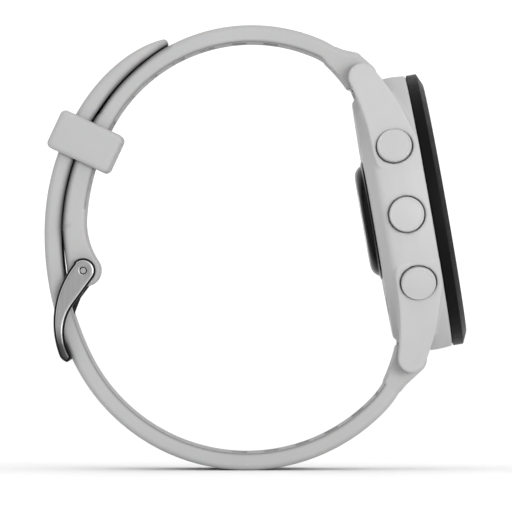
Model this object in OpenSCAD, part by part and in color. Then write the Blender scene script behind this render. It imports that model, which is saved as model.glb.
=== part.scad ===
// Round sports watch on a buckled silicone strap, standing in its side view.
// +X runs from the wrist out through the display, +Y towards 3 o'clock, +Z towards 12 o'clock.
// The origin is the centre of the opening that the wrist fills.

/* [Case] */
// Diameter of the round case
case_d = 43; // [42.6:0.1:43.4]
// Height of the case wall above the back plane
case_h = 8.9; // [8.8:0.05:9]
// How far the case wall bulges beyond its diameter, on the radius
case_bulge = 0.2; // [0.1:0.05:0.3]
// Inside radius of the case
cavity_r = 19; // [18.9:0.05:19.1]
// Lean of the display away from upright, in degrees
tilt = 10; // [9:0.5:11]
// Where the centre of the case back lies, along X
case_x = 22.5; // [22.3:0.1:22.7]
// Where the centre of the case back lies, along Z
case_z = 4.5; // [4.3:0.1:4.7]

/* [Front] */
// Thickness of the bezel, seat to front
bezel_h = 2.56; // [2.5:0.01:2.62]
// Width of the bevel round the front of the bezel
bezel_bevel = 1.8; // [1.6:0.1:1.9]
// Thickness of the front lens
lens_t = 1.1; // [1:0.05:1.2]
// Radius of the display panel
panel_r = 17.3; // [17:0.1:17.5]

/* [Lugs] */
// Distance of each spring bar from the case axis
lug_reach = 22.3; // [22.1:0.1:22.5]
// Height of each spring bar above the case back
lug_height = 2.1; // [2:0.05:2.2]
// Radius of the rounded lug tip
lug_tip_r = 2.15; // [2.05:0.05:2.25]
// Clear width between the two lugs of a pair
lug_gap = 20.2; // [20.1:0.05:20.3]
// Thickness of one lug
lug_t = 3.2; // [3:0.1:3.4]

/* [Back] */
// Radius of the back cover
back_r = 18; // [17.9:0.05:18.05]
// Thickness of the back cover
back_t = 1.4; // [1.3:0.05:1.5]
// Radius of the sensor dome where it meets the back
sensor_r = 9.45; // [9.3:0.05:9.6]
// Height of the sensor dome
sensor_h = 1.57; // [1.5:0.01:1.6]

/* [Buttons] */
// Diameter of a button cap
button_d = 5.4; // [5.2:0.1:5.5]
// Height of the button centres above the case back
button_height = 5.1; // [5:0.05:5.2]
// Distance of the outer buttons from the middle line of the case
button_spread = 10.7; // [10.5:0.1:10.8]
// Travel of a button
button_travel = 0.5; // [0.4:0.05:0.5]

/* [Strap] */
// Width of both straps
strap_w = 20; // [19.6:0.1:20]
// Thickness of both straps
strap_t = 2.65; // [2.5:0.05:2.7]
// Pitch of the adjustment holes
hole_pitch = 5; // [4.8:0.1:5]
// Diameter of an adjustment hole
hole_d = 2.2; // [2:0.1:2.4]
// Number of adjustment holes
hole_count = 15; // [13:1:15]

/* [Keeper] */
// Size of the keeper loop along the strap
keeper_l = 6.4; // [6:0.1:6.6]
// Size of the keeper loop through the strap
keeper_h = 10.6; // [10.5:0.05:10.8]
// Width of the keeper loop across the strap
keeper_w = 23; // [22.8:0.1:23.4]

/* [Buckle] */
// Thickness of a buckle arm
arm_t = 1.6; // [1.4:0.1:1.8]
// Radius of the round eye at the pin end of an arm
arm_eye_r = 1.95; // [1.85:0.05:2]
// Width of the prong
prong_w = 1.6; // [1.4:0.1:1.7]

/* [Hidden] */
$fn = 64;

hair = 0.05;                 // running clearance round a small shaft
over = 0.5;                  // how far a cutter runs past what it cuts
case_r = case_d / 2;
wall_low_r = 18.6;           // edge of the flat case back
seat_r = back_r + hair;
ledge_r = 15.2;              // inner edge of the ledge that carries the back
ledge_top = 3.2;
screw_r = 0.5;
screw_head_r = 1;
screw_ring = 16.2;
front_t = case_h + bezel_h;  // height of the front of the lens
bezel_gap = 0.17;            // shadow line between case and bezel
lens_r = case_r - bezel_bevel - 0.35;
chip_boxes = [[0, 0, 7, 7], [-9, 3, 5, 4], [8, -5, 4, 6], [5, 9, 6, 4], [-6, -9, 5, 5]];
contact_x = 13.6;
contact_pitch = 1.2;

// Lugs, in the case's own side view: across is the distance from the case axis, up the height
lug_outer_y = lug_gap / 2 + lug_t;
lug_tip = [lug_reach, lug_height];
lug_back_r = 41;             // hollow curve on the wrist side of a lug
lug_back_up = 1.6;           // height where that curve starts
lug_front_r = 36;            // round curve on the display side of a lug
lug_front_a = 58;            // direction of the front curve's start, seen from the lug tip
lug_back_c = [lug_reach - sqrt(pow(lug_back_r + lug_tip_r, 2)
    - pow(lug_height - lug_back_up + lug_back_r, 2)), lug_back_up - lug_back_r];
lug_back_a = atan2(lug_back_c.y - lug_tip.y, lug_back_c.x - lug_tip.x);
lug_front_c = lug_tip - (lug_front_r - lug_tip_r) * [cos(lug_front_a), sin(lug_front_a)];
flank_r = case_r - 0.1;
flank_tip = [lug_reach + lug_tip_r, lug_outer_y];
flank_a = atan2(flank_tip.y, flank_tip.x) + acos(flank_r / norm(flank_tip));
flank_lean = 90 - flank_a;   // lean of the flat flank, and of the outer buttons on it

// Buttons: [side, place along the case, lean outwards]
light_at = [-1, -button_spread];
up_at = [-1, 0];
down_at = [-1, button_spread];
start_at = [1, -button_spread];
back_at = [1, button_spread];
button_places = [light_at, up_at, down_at, start_at, back_at];
button_r = button_d / 2;
button_groove = 0.2;         // ring gap round a cap
button_pocket = 1.3;
cap_depth = 0.65;            // cap below the flank
cap_proud = 0.55;            // cap above the flank, to the rim of its dome
cap_dome = 0.3;
stem_r = 0.7;
stem_end = 3.9;
clip_r = 1.5;
clip_t = 0.3;
clip_at = 2.85;              // depth of the clip's outer face
clip_spot_r = 1.9;
seal_at = 1.75;
seal_r = 1.15;
seal_t = 0.4;

// Spring bars
tube_r = 0.75;
tube_bore_r = 0.5;
tube_end = 9.6;
tube_lip = 0.3;
tip_r = 0.4;
tip_end = lug_gap / 2 + 0.85;
plunger_r = tube_bore_r - 0.04;
plunger_start = 5;
knob_at = 7.2;               // place of the knob along the bar
knob_travel = 1.2;
knob_lean = 42;              // direction of the knob, from straight back towards the case
knob_r = 0.6;
stalk_r = 0.3;
stalk_l = 2.2;
spring_stop = 2;
coil_r = 0.33;
wire_r = 0.1;
coil_turns = 9;
boss_r = 2.45;               // strap end round a spring bar
boss_bore_r = tube_r + 0.1;
notch_w = 1.7;

// Straps, in the side view. Each is a run of touching arcs: [centre, inner radius, from, to],
// from its lugs towards the buckle. The 12 o'clock strap turns one way and the 6 o'clock strap the other
arc_12a = [[9.15, 20.79], 10.4, 25.5, 67.1];
arc_12b = next_arc(arc_12a, 24.8, 149.9);
arc_12c = next_arc(arc_12b, 34.5, 179);
runs_12 = [arc_12a, arc_12b, arc_12c];
arc_6a = [[12.39, -13.99], 13.8, -4.8, -44.5];
arc_6b = next_arc(arc_6a, 27.35, -154.5);
arc_6c = next_arc(arc_6b, 43.2, -182.6);
arc_6d = next_arc(arc_6c, 34.1, -210);
arc_tail = next_arc(arc_6d, 33.9, -238.8);
runs_6 = [arc_6a, arc_6b, arc_6c, arc_6d, arc_tail];
tail_tip_t = 1.15;           // thickness of the tail at its rounded tip
face_step = 2;               // length of one flat of a strap's curved faces
bar_12 = case_point(lug_height, lug_reach);
bar_6 = case_point(lug_height, -lug_reach);
hump_12 = [19.75, 29.9];     // crown of the thick end by the 12 o'clock lugs
hump_r = 0.5;
first_hole_s = 37.4;         // first hole, measured along the inside of the long strap
pin = [-22.73, -3.33];       // buckle pin
pin_boss_r = 2.55;
pin_end_extra = 0.8;         // how much thicker the strap gets by the time it reaches that boss
pin_fillet_r = 11;            // hollow curve where the strap widens into that boss
pin_fillet_c = touching(arc_12c[0], arc_12c[1] - pin_fillet_r, pin, pin_boss_r + pin_fillet_r);
pin_r = 0.75;
pin_tip_r = 0.45;

// Buckle, in the side view
arm_outer_c = [-12.68, -11.39];
arm_outer_r = 14.69;
arm_inner_c = [-18.56, -12.94];
arm_inner_r = 7.11;
arm_neck = [-23.7, -7.7];    // where the arm's hollow edge leaves the straight one from the eye
arm_neck_w = 3.3;
arm_y = strap_w / 2 + 0.35;
arm_end_z = -17.7;
arm_end_x = -24.6;
bar_top_z = -14.4;
bar_clear = 0.15;            // gap between crossbar and strap
prong_tip = [-26.75, -15.7];
prong_eye_r = 1.35;
prong_tip_r = 0.5;
prong_mid = [-24.75, -9.6];
prong_mid_r = 0.62;
prong_play = 0.3;
prong_swing = 3;             // swing of the prong and frame on the pin, in degrees
prong_slot_w = prong_w + 0.5;

// Keeper, turning about the centre of the arc that it slides along
keeper_c = [-22.46, 16.8];
keeper_a = 155;              // direction out through the strap stack
keeper_in = 3.75;            // passage from the keeper's centre towards the wrist
keeper_out = 3.95;           // passage from the keeper's centre outwards
keeper_corner = 0.9;

function case_point(up, across) = [case_x + up * cos(tilt) - across * sin(tilt),
    case_z + up * sin(tilt) + across * cos(tilt)];
function arc_points(c, r, a0, a1, n, first = 0) = [for (i = [first:n])
    let (a = a0 + (a1 - a0) * i / n) c + r * [cos(a), sin(a)]];
function on_arc(arc, a, out = 0) = arc[0] + (arc[1] + out) * [cos(a), sin(a)];
function next_arc(arc, r, to) = [arc[0] + (arc[1] - r) * [cos(arc[3]), sin(arc[3])], r, arc[3], to];
function arc_length(arc) = arc[1] * abs(arc[3] - arc[2]) * PI / 180;
function arc_steps(arc) = round(arc_length(arc) / face_step);
// One face of a strap, t out from its wrist side, thinning over its last arc by lost
function face(runs, t, lost = 0, power = 3) = [for (k = [0:len(runs) - 1]) let (arc = runs[k], n = arc_steps(arc))
    for (i = [k == 0 ? 0 : 1:n]) let (thin = k == len(runs) - 1 ? lost * pow(i / n, power) : 0)
        on_arc(arc, arc[2] + (arc[3] - arc[2]) * i / n, t - thin)];
function backwards(list) = [for (i = [len(list) - 1:-1:0]) list[i]];
// [arc, angle] at the distance s along the inside of the long strap
function place_6(s, k = 0) = s <= arc_length(runs_6[k])
    ? [runs_6[k], runs_6[k][2] - s / runs_6[k][1] * 180 / PI] : place_6(s - arc_length(runs_6[k]), k + 1);
// The point at the distance ra from a and rb from b, on the left of the way from a to b
function touching(a, ra, b, rb) = let (d = norm(b - a), along = (ra * ra - rb * rb + d * d) / (2 * d),
    off = sqrt(ra * ra - along * along), u = (b - a) / d) a + along * u + off * [u.y, -u.x];
function swung(p, a) = pin + [[cos(a), sin(a)], [-sin(a), cos(a)]] * (p - pin);
function coil_point(a, turns, length, r) = [r * cos(a), r * sin(a), length * a / (360 * turns)];

// Places the case's own frame: +x towards 6 o'clock, +y towards 3 o'clock, +z out of the display
module in_case() {
    translate([case_x, 0, case_z]) rotate([0, 90 - tilt, 0]) children();
}

// Stands a side-view outline upright, with a width across the watch
module across(w) {
    rotate([90, 0, 0]) linear_extrude(w, center = true) children();
}

// Places a frame on a line across the watch, with +z towards 3 o'clock
module on_line(p) {
    translate([p.x, 0, p.y]) rotate([-90, 0, 0]) children();
}

// Places a frame at a button: +z straight out of the case, 0 at the flank
module at_button(place) {
    lean = sign(place[1]) * flank_lean;
    out = place[1] == 0 ? case_r + case_bulge / 2
        : (flank_r - abs(place[1]) * sin(flank_lean)) / cos(flank_lean);
    translate([place[1], place[0] * out, button_height])
        rotate([0, 0, place[0] * (90 - lean)]) rotate([0, 90, 0]) children();
}

module ring(r_out, r_in, h) {
    difference() {
        cylinder(r = r_out, h = h);
        translate([0, 0, -over]) cylinder(r = r_in, h = h + 2 * over);
    }
}

module ring_of_four(r) {
    for (a = [45:90:315]) rotate(a) translate([r, 0, 0]) children();
}

module lug_outline() {
    polygon(concat(
        [[0, case_h], [0, lug_back_up]],
        arc_points(lug_back_c, lug_back_r, 90, lug_back_a + 180, 8),
        arc_points(lug_tip, lug_tip_r, lug_back_a, lug_front_a, 14, 1),
        arc_points(lug_front_c, lug_front_r, lug_front_a,
            asin((case_h - lug_front_c.y) / lug_front_r), 8, 1)));
}

module lug_plan() {
    touch = flank_r * [cos(flank_a), sin(flank_a)];
    polygon([[touch.x, lug_gap / 2], touch, flank_tip, [flank_tip.x, lug_gap / 2]]);
}

module lug() {
    intersection() {
        linear_extrude(case_h) lug_plan();
        rotate([90, 0, 0]) translate([0, 0, -lug_outer_y - flank_r])
            linear_extrude(lug_outer_y + flank_r) lug_outline();
    }
}

module case_body() {
    color("#cfcfcf") in_case() difference() {
        union() {
            rotate_extrude() polygon([[ledge_r, back_t], [seat_r, back_t], [seat_r, 0], [wall_low_r, 0],
                [19.4, 0.85], [20.8, 2.1], [case_r - 0.1, 3.9], [case_r + case_bulge, 6.4],
                [case_r, case_h], [cavity_r, case_h], [cavity_r, ledge_top], [ledge_r, ledge_top]]);
            for (end = [0, 1], side = [0, 1]) mirror([end, 0, 0]) mirror([0, side, 0])
                difference() {
                    lug();
                    cylinder(r = cavity_r + 0.6, h = case_h + over);
                }
        }
        translate([0, 0, back_t - over]) ring(17.8, 17.3, 0.5 + over);
        ring_of_four(screw_ring) cylinder(r = screw_r, h = ledge_top + over);
        for (end = [-1, 1]) translate([end * lug_reach, 0, lug_height]) rotate([90, 0, 0]) {
            cylinder(r = boss_r + 0.25, h = lug_gap, center = true);
            cylinder(r = tip_r + hair, h = 2 * tip_end + 0.6, center = true);
        }
        for (place = button_places) at_button(place) button_bore();
    }
}

module button_bore() {
    translate([0, 0, -button_pocket]) cylinder(r = button_r + button_groove, h = button_pocket + 2);
    translate([0, 0, -5]) cylinder(r = stem_r + hair, h = 5);
    translate([0, 0, -seal_at - seal_t / 2]) cylinder(r = seal_r, h = seal_t);
    translate([0, 0, -5]) cylinder(r = clip_spot_r, h = 5 - clip_at + hair);
}

module back_cover() {
    color("#b9b9bb") in_case() difference() {
        cylinder(r = back_r, h = back_t);
        translate([0, 0, -over]) cylinder(r = sensor_r - 0.95, h = back_t + 2 * over);
        ring_of_four(screw_ring) {
            translate([0, 0, -over]) cylinder(r = screw_r + 0.1, h = back_t + 2 * over);
            translate([0, 0, -over]) cylinder(r = screw_head_r + 0.1, h = over + 0.7);
        }
        translate([contact_x - 1.3, -3, -over]) cube([2.6, 6, over + 0.8]);
        for (i = [-1.5:1:1.5]) translate([contact_x, i * contact_pitch, 0])
            cylinder(r = 0.4, h = back_t + over);
    }
}

module back_gasket() {
    color("#202224") in_case() translate([0, 0, back_t]) ring(17.78, 17.32, 0.45);
}

module back_screws() {
    color("#8d9094") in_case() ring_of_four(screw_ring) difference() {
        union() {
            translate([0, 0, 0.1]) cylinder(r = screw_head_r, h = 0.6);
            translate([0, 0, 0.7]) cylinder(r = screw_r - 0.01, h = ledge_top - 0.7);
        }
        translate([0, 0, -over]) cylinder(r = 0.5, h = over + 0.45, $fn = 6);
    }
}

module sensor_cover() {
    color("#161719") in_case() difference() {
        rotate_extrude() polygon(concat(
            [[0, -0.9], [0, -sensor_h], [7, -sensor_h]],
            arc_points([7, -sensor_h + 1.9], 1.9, -75, -25, 5),
            [[sensor_r - 0.1, -0.25], [sensor_r, 0], [sensor_r - 1, 0], [sensor_r - 1, back_t],
            [7.7, back_t], [7.7, -0.5], [7.2, -0.9]]));
        for (a = [90:120:330]) rotate(a) translate([3.3, 0, -sensor_h - over])
            cylinder(r = 1.5, h = sensor_h);
    }
}

module sensor_windows() {
    color("#3a4a44") in_case() for (a = [90:120:330]) rotate(a) translate([3.3, 0, -sensor_h])
        cylinder(r = 1.48, h = sensor_h - 0.9);
}

module sensor_board() {
    color("#1f5d3a") in_case() translate([0, 0, 0.1]) cylinder(r = 7.65, h = 0.6);
}

module sensor_lights() {
    color("#a9e2c4") in_case() for (a = [90:120:330]) rotate(a)
        translate([3.3, 0, -0.2]) cube([1.6, 1.6, 0.6], center = true);
}

module charge_contacts() {
    color("#d4af5a") in_case() for (i = [-1.5:1:1.5]) translate([contact_x, i * contact_pitch, 0.65])
        cylinder(r = 0.38, h = 1.4);
}

module battery() {
    color("#9fa3a8") in_case() translate([-10.5, -10, 1.7]) cube([21, 20, 3.2]);
}

module main_board() {
    color("#1d6b45") in_case() translate([0, 0, 6.4]) cylinder(r = 17.6, h = 0.8);
}

module board_chips() {
    color("#25282b") in_case() for (b = chip_boxes)
        translate([b[0], b[1], 7.6]) cube([b[2], b[3], 0.8], center = true);
}

module button_switches() {
    color("#c9ccd0") in_case() for (place = button_places) at_button(place)
        translate([-1.3, -1.3, -stem_end - button_travel - 1.9]) cube([2.35, 2.6, 1.8]);
}

module vibration_motor() {
    color("#b5b8bc") in_case() translate([-14.2, 0, 3.6]) cylinder(r = 2.8, h = 2.4);
}

module beeper() {
    color("#c8a24c") in_case() translate([14.4, 0, 4.4]) cylinder(r = 2.8, h = 0.9);
}

module gps_antenna() {
    color("#b06a3c") in_case() rotate(110) rotate_extrude(angle = 140)
        translate([18.3, 7.3]) square([0.5, 1.4]);
}

module inner_frame() {
    color("#33363a") in_case() translate([0, 0, 8.3]) ring(18, 12, 0.6);
}

module display_panel() {
    color("#0c2a2c") in_case() translate([0, 0, case_h]) cylinder(r = panel_r, h = 1.2);
}

module bezel() {
    seat = front_t - lens_t;
    color("#2b2c2e") in_case() rotate_extrude() polygon([[panel_r + 0.4, case_h],
        [case_r - 0.4, case_h], [case_r - 0.4, case_h + bezel_gap], [case_r, case_h + bezel_gap],
        [case_r, front_t - 0.8], [case_r - bezel_bevel, front_t], [lens_r + hair, front_t],
        [lens_r + hair, seat], [panel_r + 0.4, seat]]);
}

module display_lens() {
    color("#3c4446") in_case() translate([0, 0, front_t - lens_t]) cylinder(r = lens_r, h = lens_t);
}

module button_seals() {
    color("#1b1c1e") in_case() for (place = button_places) at_button(place)
        translate([0, 0, -seal_at - seal_t / 2 + 0.02]) ring(seal_r - 0.02, stem_r + 0.03, seal_t - 0.04);
}

module button(place) {
    dome_r = (button_r * button_r + cap_dome * cap_dome) / (2 * cap_dome);
    color("#c4c5c7") in_case() at_button(place) difference() {
        union() {
            translate([0, 0, -cap_depth]) cylinder(r = button_r, h = cap_depth + cap_proud);
            intersection() {
                translate([0, 0, cap_proud + cap_dome - dome_r]) sphere(r = dome_r, $fn = 128);
                translate([0, 0, cap_proud]) cylinder(r = button_r, h = cap_dome + over);
            }
            translate([0, 0, -stem_end]) cylinder(r = stem_r, h = stem_end);
        }
        translate([0, 0, -clip_at - clip_t]) ring(stem_r + over, 0.45, clip_t);
    }
}

module button_clip(place) {
    color("#8f9296") in_case() at_button(place) translate([0, 0, -clip_at - clip_t + 0.01])
        ring(clip_r, 0.46, clip_t - 0.02);
}

module light_button() { button(light_at); }
module up_button() { button(up_at); }
module down_button() { button(down_at); }
module start_button() { button(start_at); }
module back_button() { button(back_at); }
module light_clip() { button_clip(light_at); }
module up_clip() { button_clip(up_at); }
module down_clip() { button_clip(down_at); }
module start_clip() { button_clip(start_at); }
module back_clip() { button_clip(back_at); }

// Turns a frame on a bar's line so that +x points along its knob
module along_knob(end) {
    rotate(-(180 + tilt + end * knob_lean)) children();
}

module bar_tube(p, end) {
    color("#a4a7ab") on_line(p) difference() {
        union() {
            translate([0, 0, -tube_end]) cylinder(r = tube_r, h = 2 * tube_end);
            cylinder(r = tip_r, h = tip_end);
        }
        translate([0, 0, -tube_end + tube_lip])
            cylinder(r = tube_bore_r, h = tube_end - tube_lip + spring_stop);
        translate([0, 0, -tube_end - over]) cylinder(r = tip_r + 0.03, h = tube_lip + 2 * over);
        along_knob(end) translate([0, -stalk_r - hair, -knob_at - 0.4])
            cube([2, 2 * (stalk_r + hair), knob_travel + 0.8]);
    }
}

module bar_knob(p, end) {
    color("#d6d8da") on_line(p) {
        translate([0, 0, -tip_end]) cylinder(r = tip_r, h = tip_end - plunger_start);
        translate([0, 0, -tube_end + tube_lip + hair])
            cylinder(r = plunger_r, h = tube_end - tube_lip - hair - plunger_start);
        translate([0, 0, -knob_at]) along_knob(end) rotate([0, 90, 0]) {
            cylinder(r = stalk_r, h = stalk_l);
            translate([0, 0, stalk_l]) cylinder(r = knob_r, h = 0.5);
        }
    }
}

module bar_spring(p) {
    length = plunger_start + spring_stop - 0.4;
    sides = 6;
    steps = 12 * coil_turns;
    rings = [for (i = [0:steps]) let (a = 360 * coil_turns * i / steps) for (k = [0:sides - 1])
        let (b = 360 * k / sides, r = coil_r + wire_r * cos(b))
        coil_point(a, coil_turns, length, r) + [0, 0, wire_r * sin(b)]];
    walls = [for (i = [0:steps - 1], k = [0:sides - 1]) let (m = (k + 1) % sides)
        [i * sides + k, i * sides + m, (i + 1) * sides + m, (i + 1) * sides + k]];
    color("#b7babd") on_line(p) translate([0, 0, -plunger_start + 0.2])
        polyhedron(points = rings, faces = concat([[for (k = [sides - 1:-1:0]) k]], walls,
            [[for (k = [0:sides - 1]) steps * sides + k]]));
}

module bar_tube_12() { bar_tube(bar_12, 1); }
module bar_tube_6() { bar_tube(bar_6, -1); }
module bar_knob_12() { bar_knob(bar_12, 1); }
module bar_knob_6() { bar_knob(bar_6, -1); }
module bar_spring_12() { bar_spring(bar_12); }
module bar_spring_6() { bar_spring(bar_6); }

// What a spring bar takes out of a strap's end: its bore, and the notch that its knob sits in
module bar_cut(p, end) {
    on_line(p) {
        cylinder(r = boss_bore_r, h = strap_w + 2 * over, center = true);
        along_knob(end) translate([0, -notch_w / 2, -knob_at - 1.1]) cube([4, notch_w, knob_travel + 2.2]);
    }
}

// A strap's cross-section at one place on an arc, as a thin sliver for a hull
module section(arc, a) {
    polygon([on_arc(arc, a), on_arc(arc, a, strap_t), on_arc(arc, a + 0.2, strap_t), on_arc(arc, a + 0.2)]);
}

module strap_12() {
    color("#c6c6c6") difference() {
        union() {
            across(strap_w) polygon(concat(face(runs_12, 0),
                backwards(face(runs_12, strap_t, -pin_end_extra, 0.5))));
            across(strap_w) hull() {
                translate(bar_12) circle(boss_r);
                translate(hump_12) circle(hump_r);
                section(arc_12a, 54);
            }
            across(strap_w) translate(pin) circle(pin_boss_r);
            across(strap_w) pin_end_outline();
        }
        bar_cut(bar_12, 1);
        on_line(pin) cylinder(r = pin_r, h = strap_w + 2 * over, center = true);
        across(prong_slot_w) {
            translate(pin) circle(prong_eye_r + prong_play);
            prong_path(prong_play, prong_swing);
        }
    }
}

// Runs the strap into its boss on the buckle pin, with a hollow curve on the wrist side
module pin_end_outline() {
    meet = pin_fillet_c - arc_12c[0];
    meet_a = atan2(meet.y, meet.x);
    boss = pin - pin_fillet_c;
    polygon(concat([on_arc(arc_12c, meet_a, strap_t / 2)],
        arc_points(pin_fillet_c, pin_fillet_r, meet_a - 360, atan2(boss.y, boss.x), 10),
        [pin, pin - [pin_boss_r, 0], on_arc(arc_12c, arc_12c[3], strap_t + pin_end_extra)]));
}

module strap_6() {
    tip = on_arc(arc_tail, arc_tail[3], tail_tip_t / 2);
    color("#c6c6c6") difference() {
        union() {
            across(strap_w) polygon(concat(face(runs_6, 0),
                arc_points(tip, tail_tip_t / 2, arc_tail[3] - 180, arc_tail[3], 8, 1),
                backwards(face(runs_6, strap_t, strap_t - tail_tip_t))));
            across(strap_w) hull() {
                translate(bar_6) circle(boss_r);
                section(arc_6a, -29);
            }
        }
        bar_cut(bar_6, -1);
        for (i = [0:hole_count - 1]) strap_hole(first_hole_s + i * hole_pitch);
        across(prong_slot_w) prong_path(prong_play, prong_swing);
    }
}

module strap_hole(s) {
    place = place_6(s);
    rotate([90, 0, 0]) translate([place[0][0].x, place[0][0].y, 0]) rotate(place[1])
        translate([place[0][1] - over, 0, 0]) rotate([0, 90, 0]) cylinder(d = hole_d, h = strap_t + 2 * over);
}

module keeper() {
    inner_w = strap_w + 0.5;
    reach = norm(keeper_c - arc_12c[0]);
    color("#c9c9c9") difference() {
        translate([keeper_c.x, 0, keeper_c.y]) rotate([0, -keeper_a, 0]) difference() {
            translate([-keeper_h / 2, -keeper_w / 2, -keeper_l / 2]) cube([keeper_h, keeper_w, keeper_l]);
            for (z = [-1, 1], x = [-1, 1]) translate([x * keeper_h / 2, 0, z * keeper_l / 2])
                mirror([x < 0 ? 1 : 0, 0, 0]) mirror([0, 0, z < 0 ? 1 : 0]) rotate([90, 0, 0])
                    keeper_corner_cut();
        }
        on_line(arc_12c[0]) translate([0, 0, -inner_w / 2])
            ring(reach + keeper_out, reach - keeper_in, inner_w);
    }
}

// Rounds one long edge of the keeper
module keeper_corner_cut() {
    difference() {
        translate([-keeper_corner, -keeper_corner, -keeper_w / 2 - over])
            cube([keeper_corner + over, keeper_corner + over, keeper_w + 2 * over]);
        translate([-keeper_corner, -keeper_corner, -keeper_w / 2 - 2 * over])
            cylinder(r = keeper_corner, h = keeper_w + 4 * over);
    }
}

module buckle_pin() {
    color("#9b9ea2") on_line(pin) {
        cylinder(r = pin_r - 0.01, h = 2 * (arm_y - 0.05), center = true);
        cylinder(r = pin_tip_r, h = 2 * (arm_y + arm_t), center = true);
    }
}

// The sickle shape of the arms and crossbar, from the height top down
module sickle(top) {
    difference() {
        intersection() {
            translate(arm_outer_c) circle(arm_outer_r, $fn = 256);
            polygon([[-30, top], [min(arm_neck.x, pin.x - 1.1), top], arm_neck,
                arm_neck - [0.4, 1.5], [arm_end_x, arm_inner_c.y], [arm_end_x, arm_end_z], [-30, arm_end_z]]);
        }
        translate(arm_inner_c) circle(arm_inner_r, $fn = 200);
    }
}

module arm_outline() {
    sickle(pin.y + 1.5);
    hull() {
        translate(pin) circle(arm_eye_r);
        translate(arm_neck - [arm_neck_w, 0]) square([arm_neck_w, 0.1]);
    }
}

module bar_outline() {
    difference() {
        sickle(bar_top_z);
        for (arc = [arc_6b, arc_6c]) translate(arc[0]) circle(arc[1] + strap_t + bar_clear, $fn = 360);
    }
}

module buckle_frame() {
    color("#8f9194") difference() {
        union() {
            for (side = [-1, 1]) translate([0, side * (arm_y + arm_t / 2), 0]) across(arm_t) arm_outline();
            across(2 * arm_y + arm_t) bar_outline();
        }
        on_line(pin) cylinder(r = pin_tip_r + 0.03, h = 3 * arm_y, center = true);
        across(prong_slot_w) prong_path(0.1);
    }
}

// The prong's outline, grown by a gap, over the whole of a swing
module prong_path(gap, swing = 0) {
    hull() {
        translate(pin) circle(prong_eye_r - 0.3 + gap);
        for (a = [0, swing]) translate(swung(prong_mid, a)) circle(prong_mid_r + gap);
    }
    hull() for (a = [0, swing]) {
        translate(swung(prong_mid, a)) circle(prong_mid_r + gap);
        translate(swung(prong_tip, a)) circle(prong_tip_r + gap);
    }
}

module buckle_prong() {
    color("#a3a5a8") difference() {
        across(prong_w) {
            translate(pin) circle(prong_eye_r);
            prong_path(0);
        }
        on_line(pin) cylinder(r = pin_r + 0.03, h = strap_w, center = true);
    }
}

case_body();
back_cover();
back_gasket();
back_screws();
sensor_cover();
sensor_windows();
sensor_board();
sensor_lights();
charge_contacts();
battery();
main_board();
board_chips();
button_switches();
vibration_motor();
beeper();
gps_antenna();
inner_frame();
display_panel();
bezel();
display_lens();
button_seals();
light_button();
light_clip();
up_button();
up_clip();
down_button();
down_clip();
start_button();
start_clip();
back_button();
back_clip();
bar_tube_12();
bar_knob_12();
bar_spring_12();
bar_tube_6();
bar_knob_6();
bar_spring_6();
strap_12();
strap_6();
keeper();
buckle_pin();
buckle_frame();
buckle_prong();
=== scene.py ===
import math

import bpy
import numpy as np
from mathutils import Matrix, Vector


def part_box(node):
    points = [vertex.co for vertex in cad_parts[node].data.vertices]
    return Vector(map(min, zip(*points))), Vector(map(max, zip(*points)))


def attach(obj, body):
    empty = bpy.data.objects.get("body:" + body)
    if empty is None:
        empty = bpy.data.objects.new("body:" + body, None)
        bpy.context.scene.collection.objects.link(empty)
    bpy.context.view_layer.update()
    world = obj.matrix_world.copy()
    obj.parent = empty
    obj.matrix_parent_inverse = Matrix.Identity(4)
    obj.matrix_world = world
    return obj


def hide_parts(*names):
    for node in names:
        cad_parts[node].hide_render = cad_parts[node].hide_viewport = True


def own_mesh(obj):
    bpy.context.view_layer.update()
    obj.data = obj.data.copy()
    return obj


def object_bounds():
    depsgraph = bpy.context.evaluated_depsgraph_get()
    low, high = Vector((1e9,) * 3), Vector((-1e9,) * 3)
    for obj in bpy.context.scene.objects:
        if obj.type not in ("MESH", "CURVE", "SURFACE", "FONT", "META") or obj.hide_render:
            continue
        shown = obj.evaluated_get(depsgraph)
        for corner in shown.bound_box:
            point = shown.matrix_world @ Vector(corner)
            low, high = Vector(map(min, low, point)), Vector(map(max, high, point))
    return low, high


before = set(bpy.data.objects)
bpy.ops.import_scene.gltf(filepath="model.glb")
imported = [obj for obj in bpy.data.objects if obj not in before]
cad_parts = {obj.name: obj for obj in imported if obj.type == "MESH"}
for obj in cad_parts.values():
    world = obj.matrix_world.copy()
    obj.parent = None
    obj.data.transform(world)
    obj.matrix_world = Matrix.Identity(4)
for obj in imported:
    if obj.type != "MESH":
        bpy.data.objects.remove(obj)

# Sizes are in millimetres up to the moment a mesh is made. +X runs from the wrist out through the
# display, +Y towards 3 o'clock and +Z towards 12 o'clock, as in the CAD frame.

CAD_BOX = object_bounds()
MM = 0.001
CELL = 0.24     # cell of the grid that the moulded shapes are meshed on
MARGIN = 0.8                            # how far that grid reaches past a shape


# -------------------------------- places taken from the CAD frame

def box_mm(node):
    low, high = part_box(node)
    return np.array(low) / MM, np.array(high) / MM


def centre_mm(node):
    low, high = box_mm(node)
    return (low + high) / 2


def line_through(node):
    """Side-view place (X, Z) of a part that lies straight across the watch."""
    c = centre_mm(node)
    return np.array([c[0], c[2]])


TILT = math.radians(10)
OUT = np.array([math.cos(TILT), 0, math.sin(TILT)])        # out of the display
DOWN = np.array([math.sin(TILT), 0, -math.cos(TILT)])      # towards 6 o'clock
ACROSS = np.array([0, 1, 0])                               # towards 3 o'clock

PANEL_T = 1.2
CASE_H = 8.9
BAR_12, BAR_6 = line_through("bar_tube_12"), line_through("bar_tube_6")
LUG_H = 2.1
CASE_ORIGIN = centre_mm("display_panel") - OUT * (CASE_H + PANEL_T / 2)
LUG_REACH = float(np.linalg.norm(BAR_12 - BAR_6)) / 2
PIN = line_through("buckle_pin")


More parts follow.
